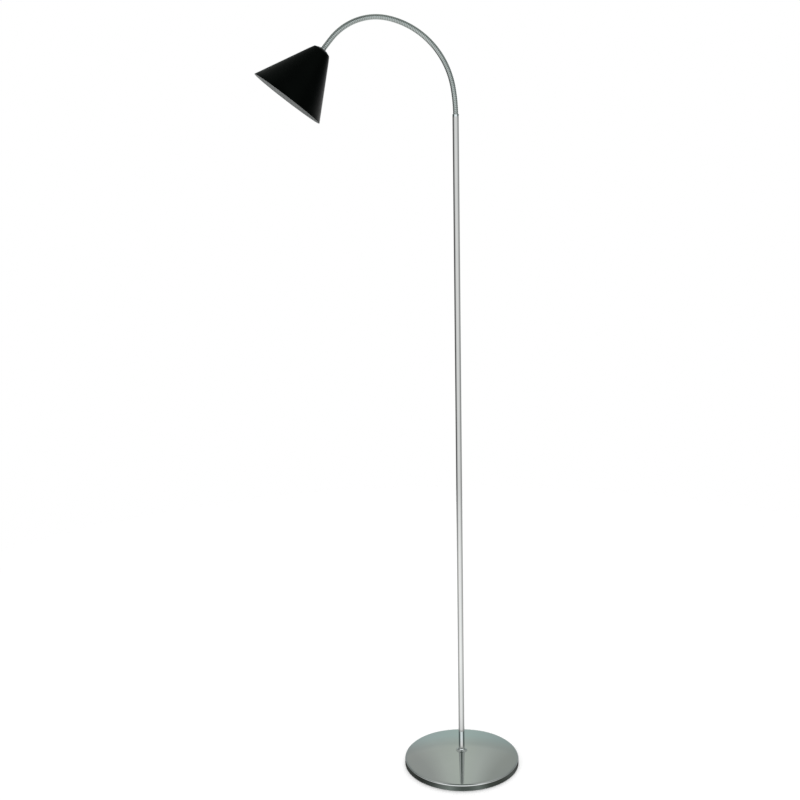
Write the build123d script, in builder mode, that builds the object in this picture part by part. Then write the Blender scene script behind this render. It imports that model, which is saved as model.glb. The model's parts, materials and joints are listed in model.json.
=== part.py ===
"""Gooseneck reading floor lamp.

A chromed pole stands on a weighted round foot. A bendable ribbed arm leaves its top, curves over
in the XZ plane towards -X and carries a small conical shade with a lampholder and a bulb.
Millimetres, +Z up, origin under the middle of the foot on the pole's axis.
"""
import os
from math import atan, cos, degrees, radians, sin, sqrt

from build123d import *

os.makedirs("parts", exist_ok=True)

# clearances
fit_gap = 0.05            # radial gap of pieces that are pressed, screwed or brazed together
bolt_gap = 0.3            # radial gap of a hole round the stud that passes through it

# foot
foot_radius = 115.0
rim_height = 14.3         # where the skirt and the dome would meet without their rounding
dome_rise = 13.5          # from there up to the landing in the middle
rim_rounding = 4.0
rim_steps = 3             # flats that the rim's rounding is made of
dome_steps = 4            # cones that the dome is made of
cover_wall = 1.0
skirt_lift = 1.0          # the skirt's edge stays this much off the ground
landing_radius = 13.0

# weight under the cover
pad_thickness = 1.5
pad_gap = 2.0             # radial, between the pad and the skirt
weight_gap = 1.0          # radial, between the casting and the skirt
weight_disc_top = 12.8
weight_chamfer = 3.0
hub_foot_radius = 60.0
hub_top_radius = 12.5
recess_radius = 40.0
recess_roof = 13.0

# cord inlet in the skirt, at the rear
inlet_height = 6.0
gland_bore_radius = 2.6
gland_neck_radius = 3.45
gland_flange_radius = 4.4
gland_flange = 1.0
gland_inner_flange = 1.5
channel_gap = 0.4         # between the gland's inner flange and the casting's channel

# pole
pole_radius = 6.0
pole_wall = 1.0
pole_top = 1285.0
pole_joint_height = 660.0
coupler_length = 50.0
coupler_bore_radius = 3.4
collar_radius = 11.5
collar_height = 5.0
collar_edge = 0.8
collar_neck_radius = 7.4
collar_hollow = 0.3       # how far out and up its hollow flare has its knee, of the whole flare
collar_recess = 2.0       # how deep the pole stands in the collar

# the stud and what clamps the foot to the pole
stud_bore_radius = 3.5
stud_in_pole = 18.0
stud_end = 1.2            # thread that shows below the nut
washer_radius = 14.0
washer_thickness = 1.5
lock_washer_radius = 8.6
lock_washer_thickness = 0.8
lock_washer_teeth = 10
tooth_depth = 1.1
tooth_gap = 1.6
thin_nut_flats = 14.0
thin_nut_height = 3.0

# terminal block
block_width = 20.0
block_length = 19.0
block_drop = 10.8         # how far it hangs below the roof of the recess
block_near_face = 17.0    # from the pole's axis
block_pitch = 9.2
block_wire_opening = 3.2
screw_radius = 1.6
screw_head_recess = 1.5
screw_length = 6.0
screw_inset = 5.0
slot_width = 0.6
slot_depth = 0.7

# lamp lead
lead_radius = 1.8
lead_height = 3.8
lead_bend = 3.0           # how far from the pole's axis the lead starts to turn upwards
lead_sides = 8

# bendable arm: outline of its ribs, and how it is divided
rib_crest_radius = 4.8
rib_root_radius = 4.15
arm_bore_radius = 2.9
rib_pitch = 3.2
rib_sides = 12
rib_land = 0.3            # width of the groove's floor, where the arm turns from rib to rib
ribs_per_link = 11
link_count = 10
root_ribs = 4
hinge_gap = 1.6           # least gap of two links' ends, at the edge of the bore
link_edge_radius = 3.5
lead_hinge_gap = 1.2
bore_stations = 4
parallel_limit = 1e-9     # sine of the angle under which two planes count as parallel

# the arm's centre line: a short straight rise, then four bends, each going on from the last
# (the turns are in degrees)
rise_length = 1.1
rise_radius = 298.0
rise_turn = 9.6
crown_radius = 151.0
crown_turn = 67.7
drop_radius = 105.0
drop_turn = 61.8
tail_radius = 572.0
tail_turn = 2.7

# socket on the pole's top that holds the arm
socket_head = 5.5
socket_seat_depth = 5.0
socket_spigot = 14.0
socket_bore_radius = 3.2
socket_chamfer = 0.7

# nipple on the arm's end
nipple_radius = 5.0
nipple_bore_radius = 3.0
nipple_collar_radius = 5.7
nipple_collar = 1.4
nipple_length = 12.0

# shade
shade_top_radius = 16.25
shade_mouth_radius = 71.0
shade_height = 104.0
shade_crown = 2.5         # how far the shade's top swells above its narrow edge
shade_landing_radius = 9.0
shade_wall = 0.8
shade_washer_radius = 8.4
shade_washer_thickness = 1.0

# lampholder, with its places measured along the shade's axis from the shade's landing
holder_start = 5.4
holder_cap_radius = 12.5
holder_cap_length = 12.0
holder_wall = 1.5
holder_cap_chamfer = 1.5
holder_skirt_radius = 13.2
holder_skirt_length = 27.0
holder_skirt_lip = 1.2
holder_base_thickness = 3.0
thread_shell_radius = 7.2
thread_shell_wall = 0.4
thread_shell_length = 20.0
contact_width = 4.0
contact_thickness = 0.5
contact_length = 9.0
contact_rise = 2.4

# bulb
bulb_length = 68.0
bulb_radius = 14.0
bulb_end_steps = 3        # cones that its rounded end is made of
bulb_cap_radius = 6.9
bulb_cap_length = 20.0
bulb_cap_wall = 0.4
bulb_tip_radius = 2.3
bulb_tip_length = 1.6
bulb_throat = 8.0         # length over which the glass widens
glass_wall = 0.9

# values that follow from those above
landing_height = rim_height + dome_rise
landing_underside = landing_height - cover_wall
dome_fall = dome_rise / (foot_radius ** 2 - landing_radius ** 2)
rim_turn = 90 - degrees(atan(2 * dome_fall * foot_radius))
rim_middle_radius = foot_radius - rim_rounding
dome_edge_radius = rim_middle_radius + rim_rounding * cos(radians(rim_turn))
skirt_inner_radius = foot_radius - cover_wall
weight_radius = skirt_inner_radius - weight_gap
tube_bore_radius = pole_radius - pole_wall
pole_foot = landing_height + collar_height - collar_recess
stud_radius = tube_bore_radius - fit_gap
stud_top = pole_foot + stud_in_pole
washer_bottom = recess_roof - washer_thickness
lock_washer_bottom = washer_bottom - lock_washer_thickness
stud_nut_bottom = lock_washer_bottom - thin_nut_height
stud_bottom = stud_nut_bottom - stud_end
socket_top = pole_top + socket_head
arm_start = socket_top - socket_seat_depth
root_length = root_ribs * rib_pitch
link_length = ribs_per_link * rib_pitch
arm_length = root_length + link_count * link_length
arm_bends = (
    (rise_radius, rise_turn),
    (crown_radius, crown_turn),
    (drop_radius, drop_turn),
    (tail_radius, tail_turn),
)
shade_narrow_edge = nipple_collar + shade_crown
shade_mouth = shade_narrow_edge + shade_height
shade_slope = (shade_mouth_radius - shade_top_radius) / shade_height
shade_wall_across = shade_wall * sqrt(1 + shade_slope ** 2)
shade_nut_start = nipple_collar + shade_wall + shade_washer_thickness
holder_top = nipple_collar + holder_start
holder_skirt_start = holder_top + holder_cap_length
thread_shell_start = holder_skirt_start + holder_base_thickness
bulb_tip = thread_shell_start + contact_rise
bulb_cap_start = bulb_tip + bulb_tip_length
bulb_cap_end = bulb_cap_start + bulb_cap_length
bulb_end = bulb_tip + bulb_length


def finish(piece, name):
    """Name a finished piece and write it out."""
    piece.part.label = name
    export_step(piece.part, f"parts/{name}.step")


def arm_point(distance):
    """X, Z and the turn from upright, in degrees, at a distance along the arm's centre line."""
    x = 0.0
    z = arm_start + min(distance, rise_length)
    turned = 0.0
    left = distance - rise_length
    for radius, turn in arm_bends:
        if left <= 0:
            return x, z, turned
        part_turn = min(turn, degrees(left / radius))
        after = turned + part_turn
        x += radius * (cos(radians(after)) - cos(radians(turned)))
        z += radius * (sin(radians(after)) - sin(radians(turned)))
        left -= radius * radians(part_turn)
        turned = after
    return x - left * sin(radians(turned)), z + left * cos(radians(turned)), turned


def arm_plane(distance, beyond=0.0):
    """Plane square to the arm at a distance along it, moved straight on by a length beyond that."""
    x, z, turned = arm_point(distance)
    ahead = Vector(-sin(radians(turned)), 0, cos(radians(turned)))
    return Plane(origin=Vector(x, 0, z) + ahead * beyond, x_dir=(0, 1, 0), z_dir=ahead)


def dome_height(radius):
    """Height of the cover's dome, which falls off with the square of the radius."""
    return landing_height - dome_fall * (radius ** 2 - landing_radius ** 2)


def cover_points(inset):
    """The cover's outline from the skirt's edge to the stud's hole, moved into the metal by an inset."""
    rim_middle_height = dome_height(dome_edge_radius) - rim_rounding * sin(radians(rim_turn))
    points = [(foot_radius - inset, skirt_lift)]
    for step in range(rim_steps + 1):
        turn = radians(rim_turn * step / rim_steps)
        out = (rim_rounding - inset) * cos(turn)
        points.append((rim_middle_radius + out, rim_middle_height + (rim_rounding - inset) * sin(turn)))
    for step in range(1, dome_steps + 1):
        radius = dome_edge_radius + (landing_radius - dome_edge_radius) * step / dome_steps
        points.append((radius, dome_height(radius) - inset))
    return points + [(stud_radius + bolt_gap, landing_height - inset)]


def bulb_points(inset):
    """The glass's outline from its rim in the cap to its tip, moved into the glass by an inset."""
    radius = bulb_radius - inset
    points = [(bulb_cap_radius - bulb_cap_wall - inset, bulb_cap_end), (radius, bulb_cap_end + bulb_throat)]
    for step in range(bulb_end_steps + 1):
        turn = radians(90 * step / bulb_end_steps)
        points.append((radius * cos(turn), bulb_end - bulb_radius + radius * sin(turn)))
    return points


def ring_corners(plane, radius):
    """Corners of a ring of the arm, a regular polygon in a plane."""
    turns = [radians(360 * corner / rib_sides) for corner in range(rib_sides)]
    return [plane.from_local_coords((radius * cos(turn), radius * sin(turn), 0)) for turn in turns]


def faceted_tube(rings):
    """Solid through rings of a plane and a radius, all in flat facets.

    Between parallel rings a facet has four corners. Where the arm turns it is halved, to stay flat.
    """
    corners = [ring_corners(plane, radius) for plane, radius in rings]
    facets = [Face(Wire.make_polygon(corners[0])), Face(Wire.make_polygon(corners[-1]))]
    for ring in range(len(rings) - 1):
        is_parallel = rings[ring][0].z_dir.cross(rings[ring + 1][0].z_dir).length < parallel_limit
        for side in range(rib_sides):
            low_a, low_b = corners[ring][side - 1], corners[ring][side]
            high_a, high_b = corners[ring + 1][side - 1], corners[ring + 1][side]
            if is_parallel:
                facets.append(Face(Wire.make_polygon((low_a, low_b, high_b, high_a))))
            else:
                facets.append(Face(Wire.make_polygon((low_a, low_b, high_b))))
                facets.append(Face(Wire.make_polygon((low_a, high_b, high_a))))
    return Solid(Shell(facets))


def rib_rings(start, ribs):
    """A number of ribs, each with its crest between two rings at the bottom of its grooves."""
    rings = []
    for rib in range(ribs):
        middle = start + (rib + 0.5) * rib_pitch
        reach = (rib_pitch - rib_land) / 2
        rings.append((arm_plane(middle, -reach), rib_root_radius))
        rings.append((arm_plane(middle), rib_crest_radius))
        rings.append((arm_plane(middle, reach), rib_root_radius))
    return rings


def bore_rings(start, end):
    """Rings of the arm's bore between two distances."""
    step = (end - start) / (bore_stations - 1)
    return [(arm_plane(start + station * step), arm_bore_radius) for station in range(bore_stations)]


def lead_points(start, end):
    """Points on the arm's centre line from one distance to another."""
    return [arm_plane(distance).origin for distance in (start, (start + end) / 2, end)]


def hexagon(across_flats):
    """Hexagon sketched by its width across flats."""
    RegularPolygon(across_flats / sqrt(3), 6)


# foot: a pressed cover, domed over a cast weight that stands on a foam pad
with BuildPart() as base_cover:
    with BuildSketch(Plane.XZ):
        with BuildLine():
            Polyline(*cover_points(0), *reversed(cover_points(cover_wall)), close=True)
        make_face()
    revolve(axis=Axis.Z)
    with BuildSketch(Plane.XZ.offset(-foot_radius)):
        with Locations((0, inlet_height)):
            Circle(gland_neck_radius + fit_gap)
    extrude(amount=2 * cover_wall, mode=Mode.SUBTRACT)
finish(base_cover, "base_cover")

with BuildPart() as base_weight:
    with BuildSketch(Plane.XZ):
        with BuildLine():
            Polyline(
                (0, pad_thickness),
                (weight_radius, pad_thickness),
                (weight_radius, weight_disc_top - weight_chamfer),
                (weight_radius - weight_chamfer, weight_disc_top),
                (hub_foot_radius, weight_disc_top),
                (hub_top_radius, landing_underside),
                (0, landing_underside),
                close=True,
            )
        make_face()
    revolve(axis=Axis.Z)
    with BuildSketch(Plane.XY.offset(pad_thickness)):
        Circle(recess_radius)
    extrude(amount=recess_roof - pad_thickness, mode=Mode.SUBTRACT)
    with BuildSketch(Plane.XY.offset(recess_roof)):
        Circle(stud_radius + bolt_gap)
    extrude(amount=landing_underside - recess_roof, mode=Mode.SUBTRACT)
    channel_half_width = gland_flange_radius + channel_gap
    with BuildSketch(Plane.XY.offset(pad_thickness)):
        with Locations((0, foot_radius / 2)):
            Rectangle(2 * channel_half_width, foot_radius)
        Circle(recess_radius, mode=Mode.SUBTRACT)
    extrude(amount=inlet_height + channel_half_width - pad_thickness, mode=Mode.SUBTRACT)
finish(base_weight, "base_weight")

with BuildPart() as base_pad:
    with BuildSketch():
        Circle(skirt_inner_radius - pad_gap)
    extrude(amount=pad_thickness)
finish(base_pad, "base_pad")

with BuildPart() as cord_gland:
    # the inner flange stands back by as much as the round skirt curves away behind it
    skirt_inside = sqrt(skirt_inner_radius ** 2 - gland_flange_radius ** 2)
    with BuildSketch(Plane.XZ.offset(-foot_radius)):
        with Locations((0, inlet_height)):
            Circle(gland_flange_radius)
    extrude(amount=-gland_flange)
    with BuildSketch(Plane.XZ.offset(-foot_radius)):
        with Locations((0, inlet_height)):
            Circle(gland_neck_radius)
    extrude(amount=foot_radius - skirt_inside)
    with BuildSketch(Plane.XZ.offset(-skirt_inside)):
        with Locations((0, inlet_height)):
            Circle(gland_flange_radius)
    extrude(amount=gland_inner_flange)
    with BuildSketch(Plane.XZ.offset(-foot_radius)):
        with Locations((0, inlet_height)):
            Circle(gland_bore_radius)
    extrude(amount=2 * gland_flange, both=True, mode=Mode.SUBTRACT)
    with BuildSketch(Plane.XZ.offset(-skirt_inside)):
        with Locations((0, inlet_height)):
            Circle(gland_bore_radius)
    extrude(amount=gland_inner_flange, mode=Mode.SUBTRACT)
finish(cord_gland, "cord_gland")

# pole, and the hollow stud that clamps the foot to it
with BuildPart() as foot_collar:
    flare_radius = collar_neck_radius + (collar_radius - collar_neck_radius) * collar_hollow
    flare_height = collar_edge + (collar_height - collar_edge) * collar_hollow
    with BuildSketch(Plane.XZ):
        with BuildLine():
            Polyline(
                (stud_radius + bolt_gap, landing_height),
                (collar_radius, landing_height),
                (collar_radius, landing_height + collar_edge),
                (flare_radius, landing_height + flare_height),
                (collar_neck_radius, landing_height + collar_height),
                (pole_radius + fit_gap, landing_height + collar_height),
                (pole_radius + fit_gap, pole_foot),
                (stud_radius + bolt_gap, pole_foot),
                close=True,
            )
        make_face()
    revolve(axis=Axis.Z)
finish(foot_collar, "foot_collar")

with BuildPart() as base_stud:
    with BuildSketch(Plane.XY.offset(stud_bottom)):
        Circle(stud_radius)
        Circle(stud_bore_radius, mode=Mode.SUBTRACT)
    extrude(amount=stud_top - stud_bottom)
finish(base_stud, "base_stud")

with BuildPart() as stud_washer:
    with BuildSketch(Plane.XY.offset(washer_bottom)):
        Circle(washer_radius)
        Circle(stud_radius + bolt_gap, mode=Mode.SUBTRACT)
    extrude(amount=washer_thickness)
finish(stud_washer, "stud_washer")

with BuildPart() as stud_lock_washer:
    with BuildSketch(Plane.XY.offset(lock_washer_bottom)):
        Circle(lock_washer_radius)
        Circle(stud_radius + bolt_gap, mode=Mode.SUBTRACT)
        with PolarLocations(lock_washer_radius, lock_washer_teeth):
            Rectangle(2 * tooth_depth, tooth_gap, mode=Mode.SUBTRACT)
    extrude(amount=lock_washer_thickness)
finish(stud_lock_washer, "stud_lock_washer")

with BuildPart() as stud_nut:
    with BuildSketch(Plane.XY.offset(stud_nut_bottom)):
        hexagon(thin_nut_flats)
        Circle(stud_radius + fit_gap, mode=Mode.SUBTRACT)
    extrude(amount=thin_nut_height)
finish(stud_nut, "stud_nut")

with BuildPart() as pole_lower:
    with BuildSketch(Plane.XY.offset(pole_foot)):
        Circle(pole_radius)
        Circle(tube_bore_radius, mode=Mode.SUBTRACT)
    extrude(amount=pole_joint_height - pole_foot)
finish(pole_lower, "pole_lower")

with BuildPart() as pole_upper:
    with BuildSketch(Plane.XY.offset(pole_joint_height)):
        Circle(pole_radius)
        Circle(tube_bore_radius, mode=Mode.SUBTRACT)
    extrude(amount=pole_top - pole_joint_height)
finish(pole_upper, "pole_upper")

with BuildPart() as pole_coupler:
    with BuildSketch(Plane.XY.offset(pole_joint_height)):
        Circle(tube_bore_radius - fit_gap)
        Circle(coupler_bore_radius, mode=Mode.SUBTRACT)
    extrude(amount=coupler_length / 2, both=True)
finish(pole_coupler, "pole_coupler")

# terminal block under the roof of the recess, between the cord inlet and the stud
block_bottom = recess_roof - block_drop
block_middle = block_near_face + block_length / 2
screw_places = [
    (side * block_pitch / 2, block_middle + end * (block_length / 2 - screw_inset))
    for side in (-1, 1)
    for end in (-1, 1)
] + [(0, block_middle)]
with BuildPart() as terminal_block:
    with BuildSketch(Plane.XY.offset(block_bottom)):
        with Locations((0, block_middle)):
            Rectangle(block_width, block_length)
    extrude(amount=block_drop)
    wire_height = block_bottom + block_drop / 2
    with BuildSketch(Plane.XZ.offset(-block_near_face)):
        with Locations((-block_pitch / 2, wire_height), (block_pitch / 2, wire_height)):
            Rectangle(block_wire_opening, block_wire_opening)
    extrude(amount=-block_length, mode=Mode.SUBTRACT)
    with BuildSketch(Plane.XY.offset(block_bottom)):
        with Locations(*screw_places):
            Circle(screw_radius + fit_gap)
    extrude(amount=screw_head_recess + screw_length, mode=Mode.SUBTRACT)
finish(terminal_block, "terminal_block")

with BuildPart() as terminal_screws:
    with BuildSketch(Plane.XY.offset(block_bottom + screw_head_recess)):
        with Locations(*screw_places):
            Circle(screw_radius)
    extrude(amount=screw_length)
    with BuildSketch(Plane.XY.offset(block_bottom + screw_head_recess)):
        with Locations(*screw_places):
            Rectangle(2 * screw_radius + fit_gap, slot_width)
    extrude(amount=slot_depth, mode=Mode.SUBTRACT)
finish(terminal_screws, "terminal_screws")

# lamp lead, from the terminal block up through the stud and the pole to the arm's first hinge
with BuildPart() as lead_in_pole:
    with BuildLine():
        Polyline(
            (0, block_near_face, lead_height),
            (0, lead_bend, lead_height),
            (0, 0, lead_height + lead_bend),
            (0, 0, arm_start),
            arm_plane(root_length - lead_hinge_gap / 2).origin,
        )
    with BuildSketch(Plane(origin=(0, block_near_face, lead_height), z_dir=(0, -1, 0))):
        RegularPolygon(lead_radius, lead_sides)
    sweep(transition=Transition.RIGHT)
finish(lead_in_pole, "lead_in_pole")

# socket in the pole's top, and the first ribs of the arm that are fixed in it
with BuildPart() as neck_socket:
    with BuildSketch(Plane.XY.offset(pole_top)):
        Circle(pole_radius)
    extrude(amount=socket_head)
    chamfer(neck_socket.edges().sort_by(Axis.Z)[-1], socket_chamfer)
    with BuildSketch(Plane.XY.offset(pole_top)):
        Circle(tube_bore_radius - fit_gap)
    extrude(amount=-socket_spigot)
    with BuildSketch(Plane.XY.offset(pole_top - socket_spigot)):
        Circle(socket_bore_radius)
    extrude(amount=socket_spigot + socket_head, mode=Mode.SUBTRACT)
    with BuildSketch(Plane.XY.offset(arm_start)):
        Circle(rib_crest_radius + fit_gap)
    extrude(amount=socket_seat_depth, mode=Mode.SUBTRACT)
finish(neck_socket, "neck_socket")

end_reach = (rib_pitch - hinge_gap) / 2
with BuildPart() as neck_root:
    root_rings = [(arm_plane(0), rib_root_radius)] + rib_rings(0, root_ribs)
    root_rings[-1] = (arm_plane(root_length - rib_pitch / 2, end_reach), link_edge_radius)
    add(faceted_tube(root_rings))
    add(faceted_tube(bore_rings(0, root_length)), mode=Mode.SUBTRACT)
finish(neck_root, "neck_root")

# the arm's links: each is a stretch of the ribbed tube, with a stretch of the lead inside it
for number in range(1, link_count + 1):
    hinge = root_length + (number - 1) * link_length
    next_hinge = hinge + link_length
    is_last = number == link_count
    link_rings = rib_rings(hinge, ribs_per_link)
    link_rings[0] = (arm_plane(hinge + rib_pitch / 2, -end_reach), link_edge_radius)
    if is_last:
        link_rings.append((arm_plane(next_hinge), rib_root_radius))
    else:
        link_rings[-1] = (arm_plane(next_hinge - rib_pitch / 2, end_reach), link_edge_radius)
    with BuildPart() as link:
        add(faceted_tube(link_rings))
        add(faceted_tube(bore_rings(hinge, next_hinge)), mode=Mode.SUBTRACT)
    finish(link, f"neck_link_{number:02d}")

    lead_start = hinge + lead_hinge_gap / 2
    lead_end = next_hinge - (0 if is_last else lead_hinge_gap / 2)
    with BuildPart() as lead:
        with BuildLine():
            Polyline(*lead_points(lead_start, lead_end))
            if is_last:
                Line(arm_plane(lead_end).origin, arm_plane(lead_end, holder_skirt_start).origin)
        with BuildSketch(arm_plane(lead_start)):
            RegularPolygon(lead_radius, lead_sides)
        sweep(transition=Transition.RIGHT)
    finish(lead, f"lead_in_neck_{number:02d}")

    hinge_x, hinge_z, hinge_turn = arm_point(hinge)
    print(f"hinge {number} at x {hinge_x:.4f} z {hinge_z:.4f} turned {hinge_turn:.4f}")

# threaded nipple on the arm's end: its collar carries the shade, its thread the nut and the holder
with BuildPart() as neck_nipple:
    with BuildSketch(arm_plane(arm_length)):
        Circle(nipple_collar_radius)
    extrude(amount=nipple_collar)
    with BuildSketch(arm_plane(arm_length, nipple_collar)):
        Circle(nipple_radius)
    extrude(amount=nipple_length)
    with BuildSketch(arm_plane(arm_length)):
        Circle(nipple_bore_radius)
    extrude(amount=nipple_collar + nipple_length, mode=Mode.SUBTRACT)
finish(neck_nipple, "neck_nipple")

shade_plane = arm_plane(arm_length)
side_plane = Plane(origin=shade_plane.origin, x_dir=(0, 1, 0), z_dir=Vector(0, 1, 0).cross(shade_plane.z_dir))
shade_axis = Axis(shade_plane.origin, shade_plane.z_dir)

with BuildPart() as shade:
    inner_top_radius = shade_top_radius + shade_slope * shade_wall - shade_wall_across
    with BuildSketch(side_plane):
        with BuildLine():
            Polyline(
                (nipple_radius + bolt_gap, nipple_collar),
                (shade_landing_radius, nipple_collar),
                (shade_top_radius, shade_narrow_edge),
                (shade_mouth_radius, shade_mouth),
                (shade_mouth_radius - shade_wall_across, shade_mouth),
                (inner_top_radius, shade_narrow_edge + shade_wall),
                (shade_landing_radius, nipple_collar + shade_wall),
                (nipple_radius + bolt_gap, nipple_collar + shade_wall),
                close=True,
            )
        make_face()
    revolve(axis=shade_axis)
finish(shade, "shade")

with BuildPart() as shade_washer:
    with BuildSketch(arm_plane(arm_length, nipple_collar + shade_wall)):
        Circle(shade_washer_radius)
        Circle(nipple_radius + bolt_gap, mode=Mode.SUBTRACT)
    extrude(amount=shade_washer_thickness)
finish(shade_washer, "shade_washer")

with BuildPart() as shade_nut:
    with BuildSketch(arm_plane(arm_length, shade_nut_start)):
        hexagon(thin_nut_flats)
        Circle(nipple_radius + fit_gap, mode=Mode.SUBTRACT)
    extrude(amount=thin_nut_height)
finish(shade_nut, "shade_nut")

# lampholder
with BuildPart() as holder_cap:
    with BuildSketch(side_plane):
        with BuildLine():
            Polyline(
                (nipple_radius + fit_gap, holder_top),
                (holder_cap_radius - holder_cap_chamfer, holder_top),
                (holder_cap_radius, holder_top + holder_cap_chamfer),
                (holder_cap_radius, holder_top + holder_cap_length),
                (holder_cap_radius - holder_wall, holder_top + holder_cap_length),
                (holder_cap_radius - holder_wall, holder_top + holder_wall),
                (nipple_radius + fit_gap, holder_top + holder_wall),
                close=True,
            )
        make_face()
    revolve(axis=shade_axis)
finish(holder_cap, "holder_cap")

with BuildPart() as holder_skirt:
    with BuildSketch(arm_plane(arm_length, holder_skirt_start)):
        Circle(holder_skirt_radius)
    extrude(amount=holder_skirt_length)
    with BuildSketch(arm_plane(arm_length, holder_skirt_start + holder_skirt_length - holder_skirt_lip)):
        Circle(holder_skirt_radius + holder_skirt_lip)
    extrude(amount=holder_skirt_lip)
    with BuildSketch(arm_plane(arm_length, holder_skirt_start)):
        Circle(holder_skirt_radius - holder_wall)
    extrude(amount=holder_skirt_length, mode=Mode.SUBTRACT)
finish(holder_skirt, "holder_skirt")

with BuildPart() as holder_base:
    with BuildSketch(arm_plane(arm_length, holder_skirt_start)):
        Circle(holder_skirt_radius - holder_wall - fit_gap)
    extrude(amount=holder_base_thickness)
finish(holder_base, "holder_base")

with BuildPart() as holder_shell:
    with BuildSketch(arm_plane(arm_length, thread_shell_start)):
        Circle(thread_shell_radius + thread_shell_wall)
        Circle(thread_shell_radius, mode=Mode.SUBTRACT)
    extrude(amount=thread_shell_length)
finish(holder_shell, "holder_shell")

with BuildPart() as holder_contact:
    with BuildSketch(side_plane):
        with BuildLine():
            strip = Polyline(
                (-contact_length / 2, thread_shell_start),
                (-contact_length / 6, thread_shell_start),
                (contact_length / 6, bulb_tip - contact_thickness),
                (contact_length / 2, bulb_tip - contact_thickness),
            )
            offset(strip, amount=contact_thickness, side=Side.LEFT, kind=Kind.INTERSECTION)
        make_face()
    extrude(amount=contact_width / 2, both=True)
finish(holder_contact, "holder_contact")

# bulb
with BuildPart() as bulb_cap:
    with BuildSketch(arm_plane(arm_length, bulb_tip)):
        Circle(bulb_tip_radius)
    extrude(amount=bulb_tip_length)
    with BuildSketch(arm_plane(arm_length, bulb_cap_start)):
        Circle(bulb_cap_radius)
    extrude(amount=bulb_cap_length)
    with BuildSketch(arm_plane(arm_length, bulb_cap_start + bulb_cap_wall)):
        Circle(bulb_cap_radius - bulb_cap_wall)
    extrude(amount=bulb_cap_length - bulb_cap_wall, mode=Mode.SUBTRACT)
finish(bulb_cap, "bulb_cap")

with BuildPart() as bulb_glass:
    with BuildSketch(side_plane):
        with BuildLine():
            Polyline(*bulb_points(0), *reversed(bulb_points(glass_wall)), close=True)
        make_face()
    revolve(axis=shade_axis)
finish(bulb_glass, "bulb_glass")
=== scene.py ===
"""Gooseneck reading floor lamp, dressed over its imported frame.

Turned pieces are a circle drawn out ring by ring, as on a lathe. The arm is a wound profile, made in
stretches that meet and laid along the arm's line. Metres, +Z up, the pole on the Z axis.
"""
import json
from math import atan2, cos, degrees, hypot, pi, radians, sin, sqrt, tan

import bpy
from mathutils import Matrix, Vector


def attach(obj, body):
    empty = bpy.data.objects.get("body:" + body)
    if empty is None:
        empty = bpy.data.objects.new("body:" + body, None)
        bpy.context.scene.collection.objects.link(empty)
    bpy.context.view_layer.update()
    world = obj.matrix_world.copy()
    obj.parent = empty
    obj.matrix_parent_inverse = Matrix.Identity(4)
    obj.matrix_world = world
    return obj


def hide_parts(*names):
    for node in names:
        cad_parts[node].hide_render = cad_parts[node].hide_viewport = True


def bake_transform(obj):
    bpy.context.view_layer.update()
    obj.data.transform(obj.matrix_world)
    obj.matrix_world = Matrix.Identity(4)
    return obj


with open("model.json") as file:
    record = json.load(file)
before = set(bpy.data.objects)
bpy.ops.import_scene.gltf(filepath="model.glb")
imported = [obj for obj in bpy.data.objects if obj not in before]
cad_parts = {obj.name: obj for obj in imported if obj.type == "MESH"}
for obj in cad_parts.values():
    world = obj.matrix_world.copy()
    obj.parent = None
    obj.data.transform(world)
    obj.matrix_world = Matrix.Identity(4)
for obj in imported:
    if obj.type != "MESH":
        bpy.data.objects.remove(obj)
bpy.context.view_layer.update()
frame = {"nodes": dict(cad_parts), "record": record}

MM = 0.001

# corners nearer than the gap are one, and a mesh's elements are sorted by their distance from the place
MERGE_GAP = MM / 1000
SORTING_PLACE = (1.7, 0.83, 0.29)

# foot
FOOT_RADIUS = 115.0 * MM
RIM_HEIGHT = 14.3 * MM
DOME_RISE = 13.5 * MM
RIM_ROUNDING = 4.0 * MM
COVER_WALL = 1.0 * MM
SKIRT_LIFT = 1.0 * MM
SKIRT_CURL = 0.35 * MM
DOME_STEPS = 26
LANDING_RADIUS = 13.0 * MM
LANDING_HEIGHT = RIM_HEIGHT + DOME_RISE
STUD_HOLE_RADIUS = 5.25 * MM
PAD_RADIUS = 112.0 * MM
PAD_THICKNESS = 1.5 * MM
PAD_EDGE = 0.5 * MM

# cord inlet
INLET_HEIGHT = 6.0 * MM
GLAND_BORE_RADIUS = 2.6 * MM
GLAND_NECK_RADIUS = 3.45 * MM
GLAND_FLANGE_RADIUS = 4.4 * MM
GLAND_FACE = 116.0 * MM
GLAND_FLANGE = 1.0 * MM
GLAND_BACK = 112.4 * MM
GLAND_INNER_FLANGE = 1.5 * MM
GLAND_EDGE = 0.35 * MM

# pole
POLE_RADIUS = 6.0 * MM
POLE_BORE_RADIUS = 5.0 * MM
POLE_FOOT = 30.8 * MM
POLE_JOINT = 660.0 * MM
POLE_TOP = 1285.0 * MM
POLE_EDGE = 0.15 * MM
POLE_FIT = POLE_EDGE / 3
COLLAR_RADIUS = 11.5 * MM
COLLAR_HEIGHT = 5.0 * MM
COLLAR_EDGE = 0.8 * MM
COLLAR_NECK_RADIUS = 7.4 * MM

# socket
SOCKET_TOP = POLE_TOP + 5.5 * MM
SOCKET_SEAT_RADIUS = 4.86 * MM
SOCKET_SEAT_DEPTH = 5.0 * MM
SOCKET_SPIGOT = 14.0 * MM
SOCKET_BORE_RADIUS = 3.2 * MM
SOCKET_CHAMFER = 0.7 * MM

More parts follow.
